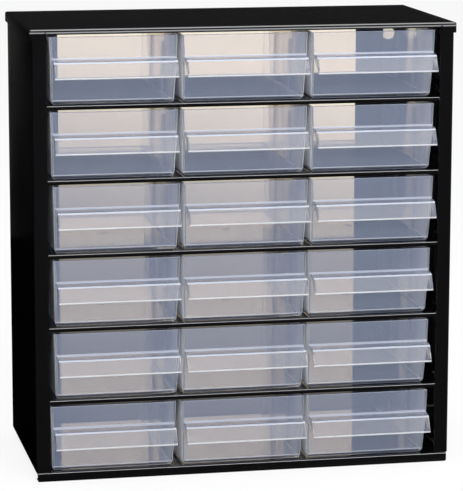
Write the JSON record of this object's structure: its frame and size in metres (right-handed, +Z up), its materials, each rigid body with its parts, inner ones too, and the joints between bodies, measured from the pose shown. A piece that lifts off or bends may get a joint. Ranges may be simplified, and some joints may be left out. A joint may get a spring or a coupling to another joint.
{
  "type": "parts bin cabinet",
  "caption": "Free-standing sheet-steel cabinet with rows of clear pull-out bins for small parts, open at the back, with two wall holes.",
  "frame": {"origin": "on the floor, at the middle of the whole object's width and depth, handles included", "axes": "+Z up, -Y out of the drawers' fronts, +X to the right as seen from the front"},
  "size_m": [0.306, 0.1569, 0.3223],
  "materials": {
    "black_steel": "smooth semi-gloss paint",
    "clear_plastic": "smooth and see-through, slightly milky"
  },
  "bodies": {
    "casing": {"lid": "black_steel", "left_side": "black_steel", "right_side": "black_steel", "bottom_panel": "black_steel", "shelf_1": "black_steel", "shelf_2": "black_steel", "shelf_3": "black_steel", "shelf_4": "black_steel", "shelf_5": "black_steel"},
    "drawer_1_1": {"drawer_1_1": "clear_plastic"},
    "drawer_1_2": {"drawer_1_2": "clear_plastic"},
    "drawer_1_3": {"drawer_1_3": "clear_plastic"},
    "drawer_2_1": {"drawer_2_1": "clear_plastic"},
    "drawer_2_2": {"drawer_2_2": "clear_plastic"},
    "drawer_2_3": {"drawer_2_3": "clear_plastic"},
    "drawer_3_1": {"drawer_3_1": "clear_plastic"},
    "drawer_3_2": {"drawer_3_2": "clear_plastic"},
    "drawer_3_3": {"drawer_3_3": "clear_plastic"},
    "drawer_4_1": {"drawer_4_1": "clear_plastic"},
    "drawer_4_2": {"drawer_4_2": "clear_plastic"},
    "drawer_4_3": {"drawer_4_3": "clear_plastic"},
    "drawer_5_1": {"drawer_5_1": "clear_plastic"},
    "drawer_5_2": {"drawer_5_2": "clear_plastic"},
    "drawer_5_3": {"drawer_5_3": "clear_plastic"},
    "drawer_6_1": {"drawer_6_1": "clear_plastic"},
    "drawer_6_2": {"drawer_6_2": "clear_plastic"},
    "drawer_6_3": {"drawer_6_3": "clear_plastic"}
  },
  "joints": [
    {"name": "drawer_1_1_slide", "type": "slide", "parent": "casing", "child": "drawer_1_1", "axis": [0, -1, 0], "range_m": [0, 0.11]},
    {"name": "drawer_1_2_slide", "type": "slide", "parent": "casing", "child": "drawer_1_2", "axis": [0, -1, 0], "range_m": [0, 0.11]},
    {"name": "drawer_1_3_slide", "type": "slide", "parent": "casing", "child": "drawer_1_3", "axis": [0, -1, 0], "range_m": [0, 0.11]},
    {"name": "drawer_2_1_slide", "type": "slide", "parent": "casing", "child": "drawer_2_1", "axis": [0, -1, 0], "range_m": [0, 0.11]},
    {"name": "drawer_2_2_slide", "type": "slide", "parent": "casing", "child": "drawer_2_2", "axis": [0, -1, 0], "range_m": [0, 0.11]},
    {"name": "drawer_2_3_slide", "type": "slide", "parent": "casing", "child": "drawer_2_3", "axis": [0, -1, 0], "range_m": [0, 0.11]},
    {"name": "drawer_3_1_slide", "type": "slide", "parent": "casing", "child": "drawer_3_1", "axis": [0, -1, 0], "range_m": [0, 0.11]},
    {"name": "drawer_3_2_slide", "type": "slide", "parent": "casing", "child": "drawer_3_2", "axis": [0, -1, 0], "range_m": [0, 0.11]},
    {"name": "drawer_3_3_slide", "type": "slide", "parent": "casing", "child": "drawer_3_3", "axis": [0, -1, 0], "range_m": [0, 0.11]},
    {"name": "drawer_4_1_slide", "type": "slide", "parent": "casing", "child": "drawer_4_1", "axis": [0, -1, 0], "range_m": [0, 0.11]},
    {"name": "drawer_4_2_slide", "type": "slide", "parent": "casing", "child": "drawer_4_2", "axis": [0, -1, 0], "range_m": [0, 0.11]},
    {"name": "drawer_4_3_slide", "type": "slide", "parent": "casing", "child": "drawer_4_3", "axis": [0, -1, 0], "range_m": [0, 0.11]},
    {"name": "drawer_5_1_slide", "type": "slide", "parent": "casing", "child": "drawer_5_1", "axis": [0, -1, 0], "range_m": [0, 0.11]},
    {"name": "drawer_5_2_slide", "type": "slide", "parent": "casing", "child": "drawer_5_2", "axis": [0, -1, 0], "range_m": [0, 0.11]},
    {"name": "drawer_5_3_slide", "type": "slide", "parent": "casing", "child": "drawer_5_3", "axis": [0, -1, 0], "range_m": [0, 0.11]},
    {"name": "drawer_6_1_slide", "type": "slide", "parent": "casing", "child": "drawer_6_1", "axis": [0, -1, 0], "range_m": [0, 0.11]},
    {"name": "drawer_6_2_slide", "type": "slide", "parent": "casing", "child": "drawer_6_2", "axis": [0, -1, 0], "range_m": [0, 0.11]},
    {"name": "drawer_6_3_slide", "type": "slide", "parent": "casing", "child": "drawer_6_3", "axis": [0, -1, 0], "range_m": [0, 0.11]}
  ]
}
